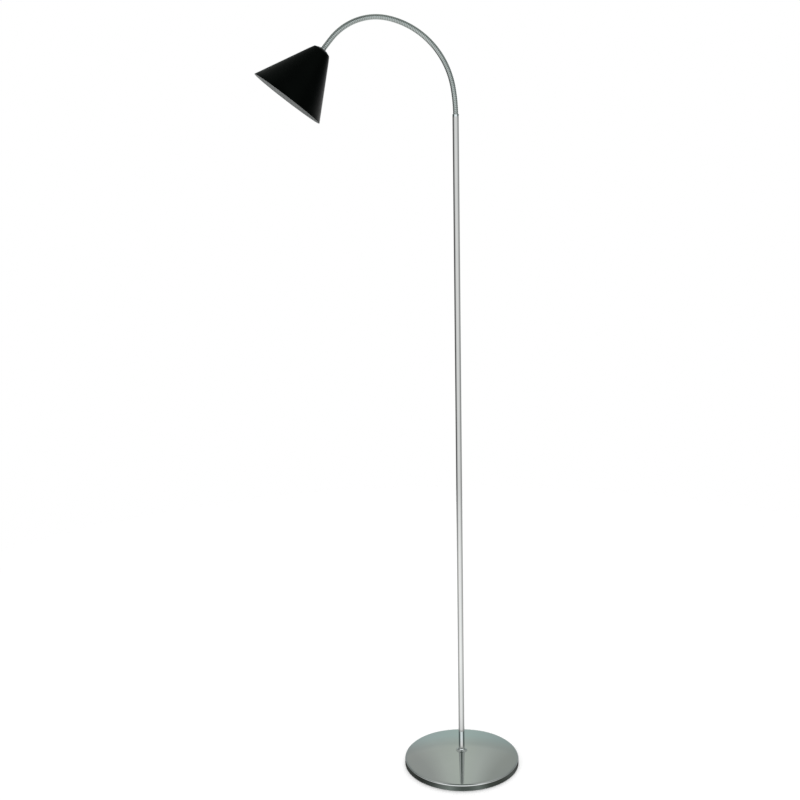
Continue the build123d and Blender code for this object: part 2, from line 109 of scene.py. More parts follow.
# arm: a straight rise, then bends of a radius and a turn, each going on from the last
ARM_START = SOCKET_TOP - SOCKET_SEAT_DEPTH
RISE_LENGTH = 1.1 * MM
BENDS = ((298.0 * MM, 9.6), (151.0 * MM, 67.7), (105.0 * MM, 61.8), (572.0 * MM, 2.7))
RIB_PITCH = 3.2 * MM
ROOT_RIBS = 4
LINK_RIBS = 11
LINKS = 10
ARM_LENGTH = (ROOT_RIBS + LINKS * LINK_RIBS) * RIB_PITCH
RIB_CREST = 4.76 * MM
RIB_ROOT = 4.28 * MM
RIB_ROUNDNESS = 0.32
RIB_POINTS = 8
HOSE_WALL = 1.0 * MM
HOSE_SIDES = 32
HOSE_SMOOTHING = 60
BLEND_REACH = 14.0 * MM
BLEND_START = SOCKET_SEAT_DEPTH + 1.0 * MM

# shade, with heights along its axis from the arm's end
NIPPLE_COLLAR_RADIUS = 5.7 * MM
NIPPLE_COLLAR = 1.4 * MM
NIPPLE_RADIUS = 5.0 * MM
NIPPLE_BORE_RADIUS = 3.0 * MM
NIPPLE_END = 13.4 * MM
NIPPLE_EDGE = 0.2 * MM
NIPPLE_THREAD_PITCH = 1.0 * MM
NIPPLE_THREAD_DEPTH = 3 * NIPPLE_EDGE
SHADE_LANDING_RADIUS = 9.0 * MM
SHADE_TOP_RADIUS = 16.25 * MM
SHADE_NARROW = 3.9 * MM
SHADE_MOUTH_RADIUS = 71.0 * MM
SHADE_MOUTH = 107.9 * MM
SHADE_WALL = 0.8 * MM
SHADE_SHOULDER = 2.0 * MM
SHADE_SLOPE = (SHADE_MOUTH_RADIUS - SHADE_TOP_RADIUS) / (SHADE_MOUTH - SHADE_NARROW)
SHADE_HOLE_RADIUS = NIPPLE_RADIUS + 0.3 * MM
SHADE_STEPS = 12
SHADE_ROLL = 0.62 * MM
SHADE_ROLL_INSET = 1.1
SHADE_OUTER_END = SHADE_MOUTH - 0.6 * MM
SHADE_INNER_END = SHADE_OUTER_END - 1.6 * MM

# lampholder and bulb
HOLDER_START = 6.8 * MM
HOLDER_HOLE_RADIUS = NIPPLE_RADIUS + 0.05 * MM
HOLDER_CAP_RADIUS = 12.5 * MM
HOLDER_CAP_END = 18.8 * MM
HOLDER_CAP_ROUNDING = 1.5 * MM
HOLDER_WALL = 1.5 * MM
HOLDER_SKIRT_RADIUS = 13.2 * MM
HOLDER_SKIRT_END = 45.8 * MM
HOLDER_LIP = 1.2 * MM
GRIP_RINGS = 5
GRIP_START = HOLDER_CAP_END + 5.0 * MM
GRIP_PITCH = 2.6 * MM
GRIP_GROOVE = 0.3 * MM
BULB_TIP = 24.2 * MM
BULB_TIP_RADIUS = 2.3 * MM
BULB_TIP_LENGTH = 1.6 * MM
BULB_TIP_CROWN = 0.8
BULB_TIP_EDGE = 0.4 * MM
BULB_CAP_START = BULB_TIP + BULB_TIP_LENGTH
BULB_CAP_END = BULB_CAP_START + 20.0 * MM
BULB_CAP_RADIUS = 6.9 * MM
BULB_CAP_WALL = 0.4 * MM
BULB_CAP_SHOULDER = 1.6 * MM
BULB_CAP_FLOOR = 1.0 * MM
BULB_CAP_COLLAR = 0.6 * MM
BULB_THREAD_START = BULB_CAP_START + 1.2 * MM
BULB_THREAD_PITCH = 2.8 * MM
BULB_THREAD_DEPTH = 0.45 * MM
BULB_THREAD_ROUNDS = 5
BULB_THREAD_POINTS = 8
BULB_THROAT = 8.0 * MM
BULB_RADIUS = 14.0 * MM
BULB_END = BULB_TIP + 68.0 * MM
GLASS_WALL = 0.9 * MM
GLASS_SMOOTHING = 50

# floor and lamps
FLOOR_RADIUS = 3.0
FLOOR_FADE = (1.2, 1.9)
FLOOR_GREY = 0.82
FLOOR_LIFT = 0.24
FILL_GREY = 0.50
LAMP_HEIGHT = 3.0

# camera, as the photograph was taken: metres and degrees, and millimetres for the lens
CAMERA_PLACE = (-0.5294, -2.3880, 1.355)
CAMERA_HEADING = -9.9
CAMERA_PITCH = -13.66
CAMERA_ROLL = -1.16
CAMERA_LENS = 59.535
SENSOR_WIDTH = 36.0


# ---------------------------------------------------------------- modelling helpers

def deselect():
    """Leave edit mode and select nothing."""
    if bpy.context.object and bpy.context.object.mode != "OBJECT":
        bpy.ops.object.mode_set(mode="OBJECT")
    bpy.ops.object.select_all(action="DESELECT")


def choose(piece):
    """Make one object the selected and active one."""
    deselect()
    piece.select_set(True)
    bpy.context.view_layer.objects.active = piece


def settle(piece, place=None):
    """Apply the piece's place to its mesh, after moving it to a place if one is given."""
    choose(piece)
    if place is not None:
        piece.matrix_world = place @ piece.matrix_world
    bpy.ops.object.transform_apply(location=True, rotation=True, scale=True)
    return piece


def apply_modifiers(piece):
    """Apply all of a piece's modifiers in order."""
    choose(piece)
    for modifier in list(piece.modifiers):
        bpy.ops.object.modifier_apply(modifier=modifier.name)


def arc_points(centre, radius, start, end, steps):
    """Points of an arc as (radius, height) pairs, with its angles in degrees from straight outwards."""
    turns = [radians(start + (end - start) * step / steps) for step in range(steps + 1)]
    return [(centre[0] + radius * cos(turn), centre[1] + radius * sin(turn)) for turn in turns]


def sort_elements():
    """Put an edited mesh's corners, edges and faces in an order that is the same at each run.

    The operators leave their order to chance. A place off all axes is at a different distance from each.
    """
    bpy.context.scene.cursor.location = SORTING_PLACE
    bpy.ops.mesh.select_all(action="SELECT")
    bpy.ops.mesh.sort_elements(type="CURSOR_DISTANCE", elements={"VERT", "EDGE", "FACE"})
    bpy.context.scene.cursor.location = (0, 0, 0)


def turned(name, stations, sides=96, smooth=35, shut_start=False, joined=True):
    """A turned piece: a circle drawn out ring by ring through stations of (radius, height).

    A last radius of zero closes the piece at a point. A joined piece's last ring meets its first.
    """
    deselect()
    radius, height = stations[0]
    fill = "NGON" if shut_start else "NOTHING"
    bpy.ops.mesh.primitive_circle_add(vertices=sides, radius=radius, fill_type=fill, location=(0, 0, height))
    piece = bpy.context.object
    piece.name = name
    bpy.ops.object.mode_set(mode="EDIT")
    bpy.ops.mesh.select_mode(type="VERT")
    bpy.ops.mesh.select_all(action="SELECT")
    if shut_start:
        bpy.ops.mesh.select_mode(type="EDGE")
        bpy.ops.mesh.region_to_loop()
    rings = stations + [stations[0]] if joined else stations
    for (radius, height), (next_radius, next_height) in zip(rings, rings[1:]):
        bpy.ops.mesh.extrude_edges_move(TRANSFORM_OT_translate={"value": (0, 0, next_height - height)})
        if next_radius == 0:
            bpy.ops.mesh.merge(type="CENTER")
        else:
            scale = next_radius / radius
            bpy.ops.transform.resize(value=(scale, scale, 1), center_override=(0, 0, next_height))
    bpy.ops.mesh.select_all(action="SELECT")
    bpy.ops.mesh.remove_doubles(threshold=MERGE_GAP)
    bpy.ops.mesh.normals_make_consistent(inside=False)
    sort_elements()
    bpy.ops.object.mode_set(mode="OBJECT")
    bpy.ops.object.shade_smooth_by_angle(angle=radians(smooth))
    return settle(piece)


# ---------------------------------------------------------------- the arm's line

def arm_frame(distance):
    """Place on the arm's centre line at a distance along it, and the turn from upright in degrees."""
    x, z, turn = 0.0, ARM_START + min(distance, RISE_LENGTH), 0.0
    left = max(distance - RISE_LENGTH, 0.0)
    for radius, bend in BENDS:
        part = min(bend, degrees(left / radius))
        after = turn + part
        x += radius * (cos(radians(after)) - cos(radians(turn)))
        z += radius * (sin(radians(after)) - sin(radians(turn)))
        left -= radius * radians(part)
        turn = after
    return Vector((x, 0, z)), turn


ARM_END, ARM_TURN = arm_frame(ARM_LENGTH)
HEAD_PLACE = Matrix.Translation(ARM_END) @ Matrix.Rotation(radians(-ARM_TURN), 4, "Y")
GLAND_PLACE = Matrix.Translation((0, 0, INLET_HEIGHT)) @ Matrix.Rotation(radians(-90), 4, "X")


def handle_reach(radius, bend):
    """Length of the curve's handle that makes a bend round, or a third of the rise where there is none."""
    return 4 / 3 * tan(radians(bend) / 4) * radius if bend else RISE_LENGTH / 3


def arm_line():
    """The arm's centre line as a curve, for the wound profile to be laid along."""
    deselect()
    bpy.ops.curve.primitive_bezier_curve_add(location=(0, 0, 0))
    line = bpy.context.object
    line.name = "arm_line"
    line.data.resolution_u = 64
    # each point's distance along the arm, with the radius and the turn of the bend that leads to it
    stops = [(0.0, 0.0, 0.0), (RISE_LENGTH, 0.0, 0.0)]
    for radius, bend in BENDS:
        stops.append((stops[-1][0] + radius * radians(bend), radius, bend))
    points = line.data.splines[0].bezier_points
    points.add(len(stops) - len(points))
    following = stops[1:] + stops[:1]
    for point, (distance, radius, bend), (_, next_radius, next_bend) in zip(points, stops, following):
        place, turn = arm_frame(distance)
        ahead = Vector((-sin(radians(turn)), 0, cos(radians(turn))))
        point.handle_left_type = point.handle_right_type = "FREE"
        point.co = place
        point.handle_left = place - ahead * handle_reach(radius, bend)
        point.handle_right = place + ahead * handle_reach(next_radius, next_bend)
    return line


def wound_stretch(name, first_rib, last_rib):
    """A straight stretch of the wound arm between two places counted in ribs, along the Z axis.

    One point is drawn out into a rib's profile, wound up past both ends, and cut at the two places.
    """
    deselect()
    below, above = 1, 2
    bottom = (int(first_rib) - below) * RIB_PITCH
    bpy.ops.mesh.primitive_plane_add(size=MM, location=(RIB_ROOT, 0, bottom))
    piece = bpy.context.object
    piece.name = name
    bpy.ops.object.transform_apply(location=True, rotation=True, scale=True)
    bpy.ops.object.mode_set(mode="EDIT")
    bpy.ops.mesh.select_mode(type="VERT")
    bpy.ops.mesh.select_all(action="SELECT")
    bpy.ops.mesh.merge(type="CENTER")
    rib_height = RIB_CREST - RIB_ROOT
    swells = [rib_height * sin(pi * step / RIB_POINTS) ** RIB_ROUNDNESS for step in range(RIB_POINTS)] + [0.0]
    for swell, next_swell in zip(swells, swells[1:]):
        bpy.ops.mesh.extrude_vertices_move(
            TRANSFORM_OT_translate={"value": (next_swell - swell, 0, RIB_PITCH / RIB_POINTS)})
    bpy.ops.object.mode_set(mode="OBJECT")
    screw = piece.modifiers.new("winding", "SCREW")
    screw.axis = "Z"
    screw.screw_offset = RIB_PITCH
    screw.iterations = below + int(last_rib - first_rib) + above
    screw.steps = screw.render_steps = HOSE_SIDES
    apply_modifiers(piece)
    bpy.ops.object.mode_set(mode="EDIT")
    bpy.ops.mesh.select_all(action="SELECT")
    bpy.ops.mesh.remove_doubles(threshold=MERGE_GAP)
    bpy.ops.mesh.normals_make_consistent(inside=False)
    bpy.ops.mesh.select_all(action="SELECT")
    bpy.ops.mesh.bisect(plane_co=(0, 0, first_rib * RIB_PITCH), plane_no=(0, 0, 1), clear_inner=True)
    bpy.ops.mesh.select_all(action="SELECT")
    bpy.ops.mesh.bisect(plane_co=(0, 0, last_rib * RIB_PITCH), plane_no=(0, 0, 1), clear_outer=True)
    bpy.ops.object.mode_set(mode="OBJECT")
    bpy.ops.object.shade_smooth_by_angle(angle=radians(HOSE_SMOOTHING))
    return piece


def lay_along(piece, line):
    """Give a stretch its wall and lay it along the arm's line."""
    wall = piece.modifiers.new("wall", "SOLIDIFY")
    wall.thickness = HOSE_WALL
    wall.offset = -1
    along = piece.modifiers.new("along", "CURVE")
    along.object = line
    along.deform_axis = "POS_Z"
    apply_modifiers(piece)


# ---------------------------------------------------------------- material helpers

def new_material(name):
    """A material with its nodes, and its surface shader."""
    material = bpy.data.materials.new(name)
    material.use_nodes = True
    return material, material.node_tree, material.node_tree.nodes["Principled BSDF"]


def noise(tree, scale, detail):
    """A noise's factor over the piece's own coordinates."""
    place = tree.nodes.new("ShaderNodeTexCoord")
    texture = tree.nodes.new("ShaderNodeTexNoise")
    texture.inputs["Scale"].default_value = scale
    texture.inputs["Detail"].default_value = detail
    tree.links.new(place.outputs["Object"], texture.inputs["Vector"])
    return texture.outputs["Fac"]


def between(tree, factor, low, high, start, end):
    """A value that goes from low to high as the factor goes from start to end."""
    node = tree.nodes.new("ShaderNodeMapRange")
    node.inputs["From Min"].default_value = start
    node.inputs["From Max"].default_value = end
    node.inputs["To Min"].default_value = low
    node.inputs["To Max"].default_value = high
    tree.links.new(factor, node.inputs["Value"])
    return node.outputs["Result"]


def spread(tree, factor, stops):
    """A colour ramp's colour, from stops of a position and a colour."""
    node = tree.nodes.new("ShaderNodeValToRGB")
    ramp = node.color_ramp
    ramp.elements.remove(ramp.elements[1])
    ramp.elements[0].position = stops[0][0]
    ramp.elements[0].color = (*stops[0][1], 1)
    for position, colour in stops[1:]:
        ramp.elements.new(position).color = (*colour, 1)
    tree.links.new(factor, node.inputs["Fac"])
    return node.outputs["Color"]


def relief(tree, shader, height, depth, strength):
    """Fine relief on a surface, of a depth in metres."""
    bump = tree.nodes.new("ShaderNodeBump")
    bump.inputs["Strength"].default_value = strength
    bump.inputs["Distance"].default_value = depth
    tree.links.new(height, bump.inputs["Height"])
    tree.links.new(bump.outputs["Normal"], shader.inputs["Normal"])


# the part of a noise's range over which a finish goes from its low to its high
NOISE_SPAN = (0.3, 0.7)


def finish(name, tones, roughness, wide, wear, grain, depth, strength):
    """A surface that is a little uneven in tone and polish, with its own grain.

    Tones and roughness are each a low and a high. Wide, wear and grain are each a noise's scale and detail.
    """
    material, tree, shader = new_material(name)
    low, high = tones
    start, end = NOISE_SPAN
    tree.links.new(spread(tree, noise(tree, *wide), [(start, low), (end, high)]), shader.inputs["Base Color"])
    tree.links.new(between(tree, noise(tree, *wear), *roughness, start, end), shader.inputs["Roughness"])
    relief(tree, shader, noise(tree, *grain), depth, strength)
    return material, shader


def plated_metal(name, tones, roughness, grain, depth):
    """Bright metal."""
    material, shader = finish(
        name, tones, roughness, wide=(9.0, 3.0), wear=(60.0, 6.0), grain=(grain, 3.0),
        depth=depth, strength=0.4)
    shader.inputs["Metallic"].default_value = 1.0
    return material


def plain_finish(name, tones, roughness, grain, depth, patches=14.0):
    """Painted, moulded, cast, rubber or glass surface, mottled in patches, and its shader."""
    return finish(
        name, tones, roughness, wide=(patches, 5.0), wear=(patches * 4, 5.0), grain=(grain, 4.0),
        depth=depth, strength=0.6)


chrome = plated_metal(
    "bright chrome", tones=((0.74, 0.76, 0.75), (0.80, 0.81, 0.80)), roughness=(0.03, 0.07),
    grain=900.0, depth=2e-6)
hose_chrome = plated_metal(
    "arm chrome", tones=((0.43, 0.47, 0.455), (0.57, 0.62, 0.60)), roughness=(0.14, 0.28),
    grain=1500.0, depth=6e-6)
zinc = plated_metal(
    "zinc plate", tones=((0.45, 0.46, 0.47), (0.62, 0.63, 0.62)), roughness=(0.28, 0.45),
    grain=700.0, depth=8e-6)
cap_metal = plated_metal(
    "bulb cap metal", tones=((0.60, 0.60, 0.58), (0.74, 0.74, 0.71)), roughness=(0.18, 0.34),
    grain=900.0, depth=5e-6)
brass = plated_metal(
    "contact brass", tones=((0.62, 0.43, 0.17), (0.76, 0.55, 0.25)), roughness=(0.2, 0.38),
    grain=800.0, depth=5e-6)
enamel, enamel_shader = plain_finish(
    "black enamel", tones=((0.0006, 0.0009, 0.0007), (0.0012, 0.0016, 0.0013)), roughness=(0.30, 0.38),
    grain=650.0, depth=1.2e-5, patches=22.0)
enamel_shader.inputs["Specular IOR Level"].default_value = 0.05
enamel_shader.inputs["Specular Tint"].default_value = (0.78, 1.0, 0.92, 1)
pale_enamel, _ = plain_finish(
    "pale enamel", tones=((0.30, 0.315, 0.31), (0.35, 0.365, 0.36)), roughness=(0.42, 0.55),
    grain=650.0, depth=1.5e-5)
moulding, _ = plain_finish(
    "white moulding", tones=((0.70, 0.69, 0.66), (0.78, 0.77, 0.74)), roughness=(0.34, 0.48),
    grain=900.0, depth=1.2e-5)
sleeve, _ = plain_finish(
    "lead sleeve", tones=((0.60, 0.60, 0.58), (0.70, 0.70, 0.68)), roughness=(0.38, 0.5),
    grain=700.0, depth=1.5e-5)
iron, _ = plain_finish(
    "cast iron", tones=((0.035, 0.034, 0.033), (0.075, 0.071, 0.067)), roughness=(0.6, 0.85),
    grain=420.0, depth=1.8e-4, patches=40.0)
foam, _ = plain_finish(
    "pad foam", tones=((0.018, 0.018, 0.019), (0.045, 0.045, 0.046)), roughness=(0.85, 1.0),
    grain=1400.0, depth=2.5e-4, patches=60.0)
rubber, _ = plain_finish(
    "grommet rubber", tones=((0.012, 0.012, 0.012), (0.022, 0.022, 0.021)), roughness=(0.5, 0.7),
    grain=1100.0, depth=5e-5, patches=90.0)
glass, glass_shader = plain_finish(
    "frosted glass", tones=((0.80, 0.80, 0.78), (0.87, 0.87, 0.85)), roughness=(0.32, 0.44),
    grain=1300.0, depth=1.5e-5, patches=60.0)
glass_shader.inputs["Subsurface Weight"].default_value = 0.25
glass_shader.inputs["Subsurface Scale"].default_value = 2.0 * MM

FINISHES = {
    "chrome_plate": chrome,
    "arm_chrome": hose_chrome,
    "zinc_steel": zinc,
    "cast_iron": iron,
    "foam_pad": foam,
    "grommet_rubber": rubber,
    "black_enamel": enamel,
    "lead_sleeve": sleeve,
    "white_moulding": moulding,
    "contact_brass": brass,
    "bulb_cap_metal": cap_metal,
    "frosted_glass": glass,
}


def dress(piece, slot, body, *nodes):
    """Give a finished piece its material, its body and the frame's nodes that it stands for."""
    piece.data.materials.clear()
    piece.data.materials.append(FINISHES[slot])
    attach(piece, body)
    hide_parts(*nodes)
    return piece


# ---------------------------------------------------------------- foot

def dome_height(radius):
    """Height of the dome, which falls off with the square of the radius."""
    share = (radius ** 2 - LANDING_RADIUS ** 2) / (FOOT_RADIUS ** 2 - LANDING_RADIUS ** 2)
    return LANDING_HEIGHT - DOME_RISE * share


def foot_cover():
    """Pressed cover: skirt with a curled edge, rounded rim, and a dome up to a flat landing."""
    slope = 2 * DOME_RISE * FOOT_RADIUS / (FOOT_RADIUS ** 2 - LANDING_RADIUS ** 2)
    rim_turn = 90 - degrees(atan2(slope, 1))
    middle = FOOT_RADIUS - RIM_ROUNDING
    dome_edge = middle + RIM_ROUNDING * cos(radians(rim_turn))
    rim_centre = (middle, dome_height(dome_edge) - RIM_ROUNDING * sin(radians(rim_turn)))
    radii = [
        dome_edge + (LANDING_RADIUS - dome_edge) * step / DOME_STEPS for step in range(1, DOME_STEPS + 1)
    ]
    outer = [(FOOT_RADIUS, SKIRT_LIFT + SKIRT_CURL)]
    outer += arc_points(rim_centre, RIM_ROUNDING, 0, rim_turn, steps=10)
    outer += [(radius, dome_height(radius)) for radius in radii]
    outer += [(STUD_HOLE_RADIUS, LANDING_HEIGHT)]
    # the unseen inside has a fifth of the dome's rings
    inner = [(STUD_HOLE_RADIUS, LANDING_HEIGHT - COVER_WALL)]
    inner += [(radius, dome_height(radius) - COVER_WALL) for radius in reversed(radii[1::5])]
    inner += arc_points(rim_centre, RIM_ROUNDING - COVER_WALL, rim_turn, 0, steps=5)
    inner += arc_points(
        (FOOT_RADIUS - COVER_WALL / 2, SKIRT_LIFT + COVER_WALL / 2), COVER_WALL / 2, 180, 350, steps=6)
    cover = turned("foot_cover", outer + inner, sides=160)
    deselect()
    bpy.ops.mesh.primitive_cylinder_add(
        vertices=48, radius=GLAND_NECK_RADIUS, depth=8 * COVER_WALL, location=(0, FOOT_RADIUS, INLET_HEIGHT),
        rotation=(radians(90), 0, 0))
    cutter = bpy.context.object
    hole = cover.modifiers.new("inlet", "BOOLEAN")
    hole.object = cutter
    hole.operation = "DIFFERENCE"
    apply_modifiers(cover)
    bpy.data.objects.remove(cutter)
    return cover


def foot_pad():
    """Foam pad with soft edges."""
    stations = [(PAD_RADIUS / 3, 0), (PAD_RADIUS - PAD_EDGE, 0)]
    stations += arc_points((PAD_RADIUS - PAD_EDGE, PAD_EDGE), PAD_EDGE, -60, 0, steps=3)
    stations += [(PAD_RADIUS, PAD_THICKNESS), (PAD_RADIUS / 3, PAD_THICKNESS), (0, PAD_THICKNESS)]
    return turned("foot_pad", stations, shut_start=True, joined=False)


def cord_grommet():
    """Rubber grommet with a rounded outer flange, on the rear of the skirt."""
    edge_height = GLAND_FACE - GLAND_EDGE
    stations = arc_points((GLAND_BORE_RADIUS + GLAND_EDGE, edge_height), GLAND_EDGE, 180, 90, steps=4)
    stations += arc_points((GLAND_FLANGE_RADIUS - GLAND_EDGE, edge_height), GLAND_EDGE, 90, 0, steps=4)
    stations += [
        (GLAND_FLANGE_RADIUS, GLAND_FACE - GLAND_FLANGE),
        (GLAND_NECK_RADIUS, GLAND_FACE - GLAND_FLANGE),
        (GLAND_NECK_RADIUS, GLAND_BACK + GLAND_INNER_FLANGE),
        (GLAND_FLANGE_RADIUS, GLAND_BACK + GLAND_INNER_FLANGE),
        (GLAND_FLANGE_RADIUS, GLAND_BACK + GLAND_EDGE),
        (GLAND_FLANGE_RADIUS - GLAND_EDGE, GLAND_BACK),
        (GLAND_BORE_RADIUS, GLAND_BACK),
    ]
    return settle(turned("cord_grommet", stations, sides=48), GLAND_PLACE)


# ---------------------------------------------------------------- pole

def flared_collar():
    """Turned collar with a hollow flare up to the pole."""
    wide, high = COLLAR_RADIUS - COLLAR_NECK_RADIUS, COLLAR_HEIGHT - COLLAR_EDGE
    top = LANDING_HEIGHT + COLLAR_HEIGHT
    stations = [
        (STUD_HOLE_RADIUS, LANDING_HEIGHT),
        (COLLAR_RADIUS - POLE_EDGE, LANDING_HEIGHT),
        (COLLAR_RADIUS, LANDING_HEIGHT + POLE_EDGE),
    ]
    stations += [
        (COLLAR_RADIUS - wide * sin(radians(turn)), top - high * cos(radians(turn)))
        for turn in range(0, 91, 9)
    ]
    stations += [
        (POLE_RADIUS + POLE_FIT, top),
        (POLE_RADIUS + POLE_FIT, POLE_FOOT),
        (STUD_HOLE_RADIUS, POLE_FOOT),
    ]
    return turned("flared_collar", stations)


def pole_tube(name, foot, top):
    """Tube with the edges of its ends just broken."""
    outer = [(POLE_RADIUS, foot + POLE_EDGE), (POLE_RADIUS, top - POLE_EDGE), (POLE_RADIUS - POLE_EDGE, top)]
    inner = [(POLE_BORE_RADIUS, top), (POLE_BORE_RADIUS, foot), (POLE_RADIUS - POLE_EDGE, foot)]
    return turned(name, outer + inner)


def arm_socket():
    """Turned bush on the pole's top, with a spigot in the pole and a seat for the arm."""
    spigot = POLE_BORE_RADIUS - POLE_FIT
    stations = [
        (POLE_RADIUS - POLE_EDGE, POLE_TOP),
        (POLE_RADIUS, POLE_TOP + POLE_EDGE),
        (POLE_RADIUS, SOCKET_TOP - SOCKET_CHAMFER),
    ]
    stations += arc_points(
        (POLE_RADIUS - SOCKET_CHAMFER, SOCKET_TOP - SOCKET_CHAMFER), SOCKET_CHAMFER, 15, 90, steps=4)
    stations += [
        (SOCKET_SEAT_RADIUS, SOCKET_TOP),
        (SOCKET_SEAT_RADIUS, ARM_START),
        (SOCKET_BORE_RADIUS, ARM_START),
        (SOCKET_BORE_RADIUS, POLE_TOP - SOCKET_SPIGOT),
        (spigot, POLE_TOP - SOCKET_SPIGOT),
        (spigot, POLE_TOP),
    ]
    return turned("arm_socket", stations)


# ---------------------------------------------------------------- arm

def wound_arm():
    """The arm in stretches from mid link to mid link, laid along the arm's line."""
    line = arm_line()
    half = LINK_RIBS / 2
    first_end = ROOT_RIBS + half
    last_start = first_end + (LINKS - 1) * LINK_RIBS
    stretches = [wound_stretch("arm_hose_01", 0, first_end)]
    middle = wound_stretch("arm_hose_02", first_end, first_end + LINK_RIBS)
    stretches.append(middle)
    for number in range(3, LINKS + 1):
        choose(middle)
        bpy.ops.object.duplicate()
        stretch = bpy.context.object
        stretch.name = f"arm_hose_{number:02d}"
        bpy.ops.transform.translate(value=(0, 0, (number - 2) * LINK_RIBS * RIB_PITCH))
        stretches.append(settle(stretch))
    stretches.append(wound_stretch(f"arm_hose_{LINKS + 1:02d}", last_start, ROOT_RIBS + LINKS * LINK_RIBS))
    for number, stretch in enumerate(stretches):
        lay_along(stretch, line)
        stretch.data.materials.append(hose_chrome)
        if number < LINKS:
            hinge = (ROOT_RIBS + number * LINK_RIBS) * RIB_PITCH
            start, _ = arm_frame(max(hinge - BLEND_REACH, BLEND_START))
            end, _ = arm_frame(hinge + BLEND_REACH)
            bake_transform(stretch)
        else:
            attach(stretch, "head")
        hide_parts("neck_root" if number == 0 else f"neck_link_{number:02d}")
    bpy.data.objects.remove(line)


def shade_nipple():
    """Threaded nipple, with the small collar that the shade rests on."""
    stations = [
        (NIPPLE_BORE_RADIUS, 0),
        (NIPPLE_COLLAR_RADIUS - NIPPLE_EDGE, 0),
        (NIPPLE_COLLAR_RADIUS, NIPPLE_EDGE),
        (NIPPLE_COLLAR_RADIUS, NIPPLE_COLLAR),
    ]
    root = NIPPLE_RADIUS - NIPPLE_THREAD_DEPTH
    for turn in range(int((NIPPLE_END - NIPPLE_COLLAR) / NIPPLE_THREAD_PITCH)):
        height = NIPPLE_COLLAR + turn * NIPPLE_THREAD_PITCH
        stations += [(root, height), (NIPPLE_RADIUS, height + NIPPLE_THREAD_PITCH / 2)]
    stations += [(root, NIPPLE_END), (NIPPLE_BORE_RADIUS, NIPPLE_END)]
    return settle(turned("shade_nipple", stations, sides=64), HEAD_PLACE)


# ---------------------------------------------------------------- shade, holder and bulb

def shade_radius(height):
    """Radius of the shade's side at a height along its axis."""
    return SHADE_MOUTH_RADIUS - SHADE_SLOPE * (SHADE_MOUTH - height)


def shade_shoulder():
    """The shoulder's two arcs, outside and inside, which touch the crown's cone and the side's cone."""
    lean = atan2(SHADE_MOUTH_RADIUS - SHADE_TOP_RADIUS, SHADE_MOUTH - SHADE_NARROW)
    crown_lean = atan2(SHADE_NARROW - NIPPLE_COLLAR, SHADE_TOP_RADIUS - SHADE_LANDING_RADIUS)
    side = Vector((sin(lean), cos(lean)))
    crown = Vector((-cos(crown_lean), -sin(crown_lean)))
    reach = SHADE_SHOULDER / tan((pi / 2 + lean - crown_lean) / 2)
    corner = Vector((SHADE_TOP_RADIUS, SHADE_NARROW))
    centre = corner + (side + crown).normalized() * hypot(reach, SHADE_SHOULDER)
    start = degrees(crown_lean) - 90
    end = -degrees(lean)
    return (
        arc_points(centre, SHADE_SHOULDER, start, end, steps=8),
        arc_points(centre, SHADE_SHOULDER - SHADE_WALL, end, start, steps=5),
    )


def spun_shade():
    """Spun cone with a rounded shoulder and a rolled mouth, black outside and pale grey inside."""
    across = SHADE_WALL * sqrt(1 + SHADE_SLOPE ** 2)
    shoulder, inner_shoulder = shade_shoulder()
    outer = [(SHADE_HOLE_RADIUS, NIPPLE_COLLAR), (SHADE_LANDING_RADIUS, NIPPLE_COLLAR)] + shoulder
    first = shoulder[-1][1]
    for step in range(1, SHADE_STEPS):
        height = first + (SHADE_OUTER_END - first) * step / SHADE_STEPS
        outer.append((shade_radius(height), height))
    roll_height = SHADE_MOUTH - SHADE_ROLL
    roll_centre = (shade_radius(roll_height) - SHADE_ROLL * SHADE_ROLL_INSET, roll_height)
    lip = arc_points(roll_centre, SHADE_ROLL, -10, 190, steps=10)
    inner = []
    last = inner_shoulder[0][1]
    for step in range(SHADE_STEPS):
        height = SHADE_INNER_END + (last - SHADE_INNER_END) * step / SHADE_STEPS
        inner.append((shade_radius(height) - across, height))
    inner += inner_shoulder
    inner_top = NIPPLE_COLLAR + SHADE_WALL
    inner += [(SHADE_LANDING_RADIUS, inner_top), (SHADE_HOLE_RADIUS, inner_top)]
    shade = turned("spun_shade", outer + lip + inner, sides=160, smooth=40)
    shade.data.materials.append(enamel)
    shade.data.materials.append(pale_enamel)
    for face in shade.data.polygons:
        if face.center.z > SHADE_NARROW + SHADE_SHOULDER:
            is_inside = hypot(face.center.x, face.center.y) < shade_radius(face.center.z) - across / 2
        else:
            is_inside = face.normal.z > 0
        face.material_index = 1 if is_inside else 0
    settle(shade, HEAD_PLACE)
    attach(shade, "head")
    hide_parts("shade")


def holder_cap():
    """Lampholder's upper half, rounded at the top."""
    round_centre = (HOLDER_CAP_RADIUS - HOLDER_CAP_ROUNDING, HOLDER_START + HOLDER_CAP_ROUNDING)
    stations = [(HOLDER_HOLE_RADIUS, HOLDER_START)]
    stations += arc_points(round_centre, HOLDER_CAP_ROUNDING, -90, 0, steps=6)
    stations += [
        (HOLDER_CAP_RADIUS, HOLDER_CAP_END),
        (HOLDER_CAP_RADIUS - HOLDER_WALL, HOLDER_CAP_END),
        (HOLDER_CAP_RADIUS - HOLDER_WALL, HOLDER_START + HOLDER_WALL),
        (HOLDER_HOLE_RADIUS, HOLDER_START + HOLDER_WALL),
    ]
    return settle(turned("holder_cap_moulding", stations, sides=80), HEAD_PLACE)


